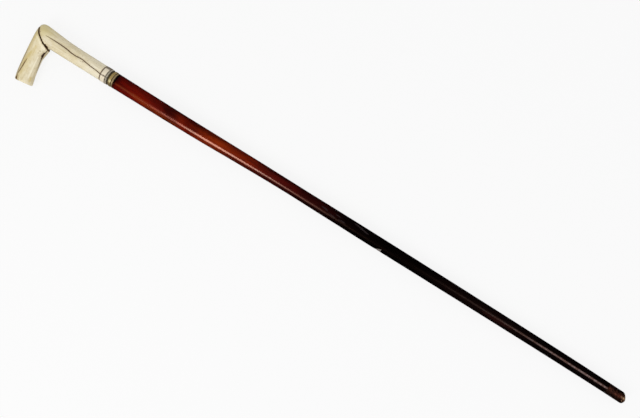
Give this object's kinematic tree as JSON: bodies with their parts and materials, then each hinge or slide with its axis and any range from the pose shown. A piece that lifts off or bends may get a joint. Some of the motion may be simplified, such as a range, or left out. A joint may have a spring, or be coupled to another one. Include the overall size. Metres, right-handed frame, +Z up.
{
  "type": "walking stick",
  "caption": "Walking stick with an angled two-limb bone handle, a banded metal collar, a slim tapering wooden shaft and a worn metal ferrule.",
  "frame": {"origin": "middle of the bounding box's underside, on the surface that the stick lies on", "axes": "+X along the shaft from the handle to the tip, -Y the way the handle's arm points, +Z up, with the stick lying on its side"},
  "size_m": [0.9016, 0.0812, 0.0234],
  "materials": {
    "bone": "satin",
    "silver": "polished",
    "brass": "satin",
    "dark_wood": "gloss",
    "pale_wood": "matte",
    "rusty_iron": "matte",
    "steel": "satin"
  },
  "bodies": {
    "root": {"handle_stem": "bone", "handle_arm": "bone", "mitre_peg": "pale_wood", "silver_collar": "silver", "collar_pin": "brass", "milled_ring": "silver", "brass_band": "brass", "rim_ring": "brass", "joining_rod": "steel", "shaft": "dark_wood", "ferrule_sleeve": "rusty_iron", "ferrule_plug": "steel", "ferrule_pin": "steel"}
  },
  "joints": []
}
